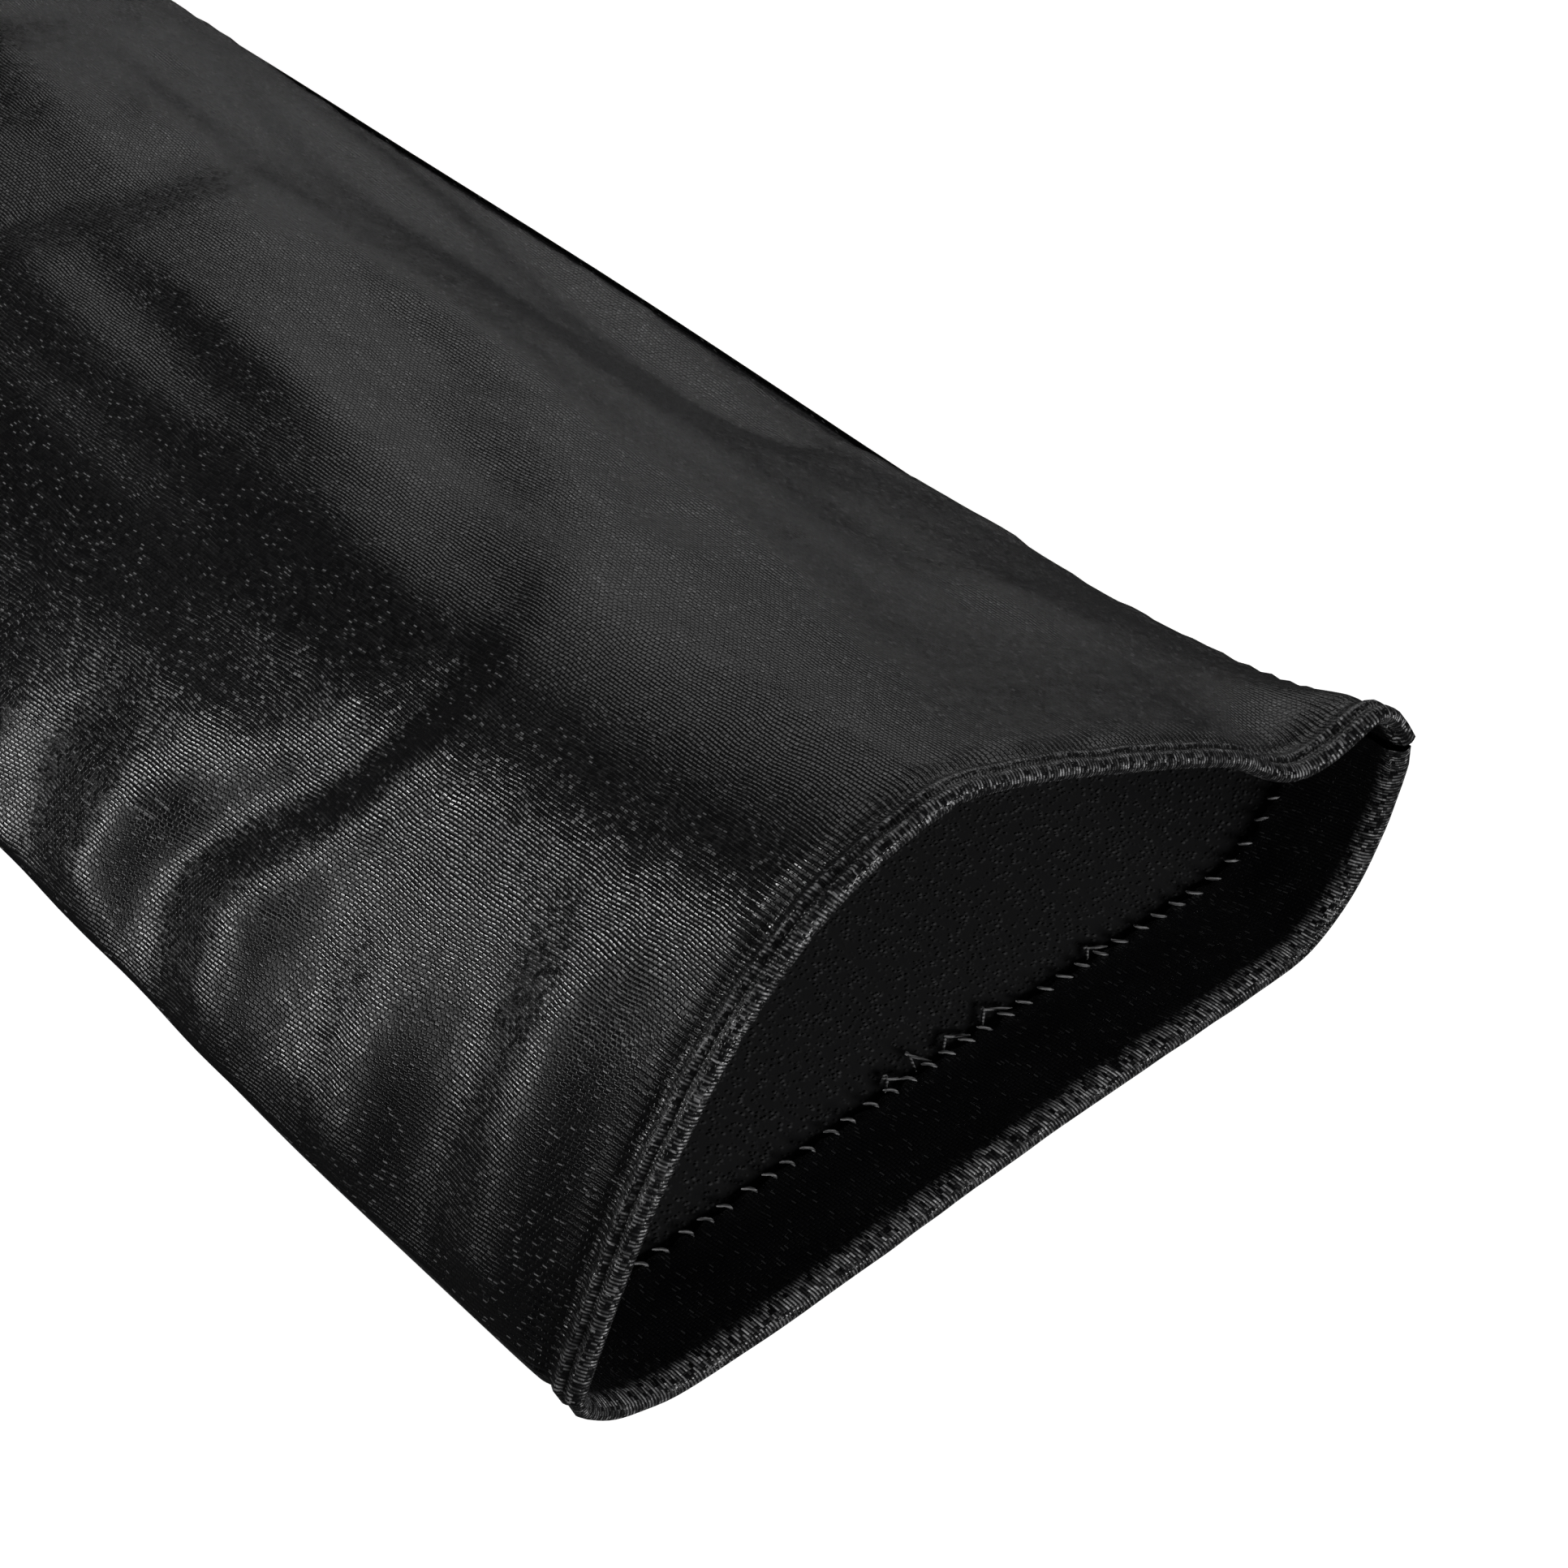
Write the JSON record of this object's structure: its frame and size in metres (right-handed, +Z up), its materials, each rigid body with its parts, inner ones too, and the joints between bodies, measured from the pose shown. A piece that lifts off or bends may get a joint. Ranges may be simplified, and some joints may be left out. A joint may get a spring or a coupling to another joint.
{
  "type": "opera gloves",
  "caption": "Long black satin evening gloves laid palm up, open at the cuff with a turned hem, bending at elbow, wrist, fingers and thumb.",
  "frame": {"origin": "on the table under the middle of the pair's box", "axes": "+Y from the cuffs to the fingertips, +Z up off the table, +X from the right-hand glove to the left-hand glove"},
  "size_m": [0.3134, 0.5452, 0.0565],
  "materials": {
    "satin": "stretch satin, lustrous face",
    "wrong_side": "matte wrong side of the satin",
    "thread": "fine filament sewing thread"
  },
  "bodies": {
    "left_upper_sleeve": {"left_upper_sleeve_palm": "satin", "left_upper_sleeve_back": "satin", "left_hem_facing": "satin", "left_hem_stitching": "thread", "left_upper_side_seam": "wrong_side"},
    "left_forearm": {"left_forearm_palm": "satin", "left_forearm_back": "satin", "left_forearm_side_seam": "wrong_side"},
    "left_hand": {"left_hand_palm": "satin", "left_hand_back": "satin", "left_hand_side_seam": "wrong_side"},
    "left_index": {"left_index_back": "satin", "left_index_outward_fourchette": "satin", "left_index_palm": "satin"},
    "left_middle": {"left_middle_back": "satin", "left_middle_outward_fourchette": "satin", "left_middle_palm": "satin", "left_middle_thumbward_fourchette": "satin"},
    "left_ring": {"left_ring_back": "satin", "left_ring_outward_fourchette": "satin", "left_ring_palm": "satin", "left_ring_thumbward_fourchette": "satin"},
    "left_little": {"left_little_back": "satin", "left_little_palm": "satin", "left_little_thumbward_fourchette": "satin"},
    "left_thumb": {"left_thumb_palm": "satin", "left_thumb_back": "satin"},
    "right_upper_sleeve": {"right_upper_sleeve_palm": "satin", "right_upper_sleeve_back": "satin", "right_hem_facing": "satin", "right_hem_stitching": "thread", "right_upper_side_seam": "wrong_side"},
    "right_forearm": {"right_forearm_palm": "satin", "right_forearm_back": "satin", "right_forearm_side_seam": "wrong_side"},
    "right_hand": {"right_hand_palm": "satin", "right_hand_back": "satin", "right_hand_side_seam": "wrong_side"},
    "right_index": {"right_index_back": "satin", "right_index_outward_fourchette": "satin", "right_index_palm": "satin"},
    "right_middle": {"right_middle_back": "satin", "right_middle_outward_fourchette": "satin", "right_middle_palm": "satin", "right_middle_thumbward_fourchette": "satin"},
    "right_ring": {"right_ring_back": "satin", "right_ring_outward_fourchette": "satin", "right_ring_palm": "satin", "right_ring_thumbward_fourchette": "satin"},
    "right_little": {"right_little_back": "satin", "right_little_palm": "satin", "right_little_thumbward_fourchette": "satin"},
    "right_thumb": {"right_thumb_palm": "satin", "right_thumb_back": "satin"}
  },
  "joints": [
    {"name": "left_elbow_bend", "type": "hinge", "parent": "left_upper_sleeve", "child": "left_forearm", "pos_m": [0.0995, -0.13057, 0.0293], "axis": [1, 0, 0], "range_deg": [0, 100]},
    {"name": "left_wrist_bend", "type": "hinge", "parent": "left_forearm", "child": "left_hand", "pos_m": [0.0995, 0.09442, 0.0128], "axis": [1, 0, 0], "range_deg": [0, 75]},
    {"name": "left_index_bend", "type": "hinge", "parent": "left_hand", "child": "left_index", "pos_m": [0.0675, 0.19243, 0.0098], "axis": [1, 0, 0], "range_deg": [0, 90]},
    {"name": "left_middle_bend", "type": "hinge", "parent": "left_hand", "child": "left_middle", "pos_m": [0.08975, 0.19243, 0.0098], "axis": [1, 0, 0], "range_deg": [0, 90]},
    {"name": "left_ring_bend", "type": "hinge", "parent": "left_hand", "child": "left_ring", "pos_m": [0.11175, 0.19243, 0.0098], "axis": [1, 0, 0], "range_deg": [0, 90]},
    {"name": "left_little_bend", "type": "hinge", "parent": "left_hand", "child": "left_little", "pos_m": [0.1325, 0.19243, 0.0098], "axis": [1, 0, 0], "range_deg": [0, 90]},
    {"name": "left_thumb_lift", "type": "hinge", "parent": "left_hand", "child": "left_thumb", "pos_m": [0.06788, 0.13043, 0.0103], "axis": [0, 1, 0], "range_deg": [0, 65]},
    {"name": "pair_apart", "type": "slide", "parent": "left_upper_sleeve", "child": "right_upper_sleeve", "axis": [-1, 0, 0], "range_m": [0, 0.15]},
    {"name": "right_elbow_bend", "type": "hinge", "parent": "right_upper_sleeve", "child": "right_forearm", "pos_m": [-0.0995, -0.13057, 0.0293], "axis": [1, 0, 0], "range_deg": [0, 100]},
    {"name": "right_wrist_bend", "type": "hinge", "parent": "right_forearm", "child": "right_hand", "pos_m": [-0.0995, 0.09442, 0.0128], "axis": [1, 0, 0], "range_deg": [0, 75]},
    {"name": "right_index_bend", "type": "hinge", "parent": "right_hand", "child": "right_index", "pos_m": [-0.0675, 0.19243, 0.0098], "axis": [1, 0, 0], "range_deg": [0, 90]},
    {"name": "right_middle_bend", "type": "hinge", "parent": "right_hand", "child": "right_middle", "pos_m": [-0.08975, 0.19243, 0.0098], "axis": [1, 0, 0], "range_deg": [0, 90]},
    {"name": "right_ring_bend", "type": "hinge", "parent": "right_hand", "child": "right_ring", "pos_m": [-0.11175, 0.19243, 0.0098], "axis": [1, 0, 0], "range_deg": [0, 90]},
    {"name": "right_little_bend", "type": "hinge", "parent": "right_hand", "child": "right_little", "pos_m": [-0.1325, 0.19243, 0.0098], "axis": [1, 0, 0], "range_deg": [0, 90]},
    {"name": "right_thumb_lift", "type": "hinge", "parent": "right_hand", "child": "right_thumb", "pos_m": [-0.06788, 0.13043, 0.0103], "axis": [0, -1, 0], "range_deg": [0, 65]}
  ]
}
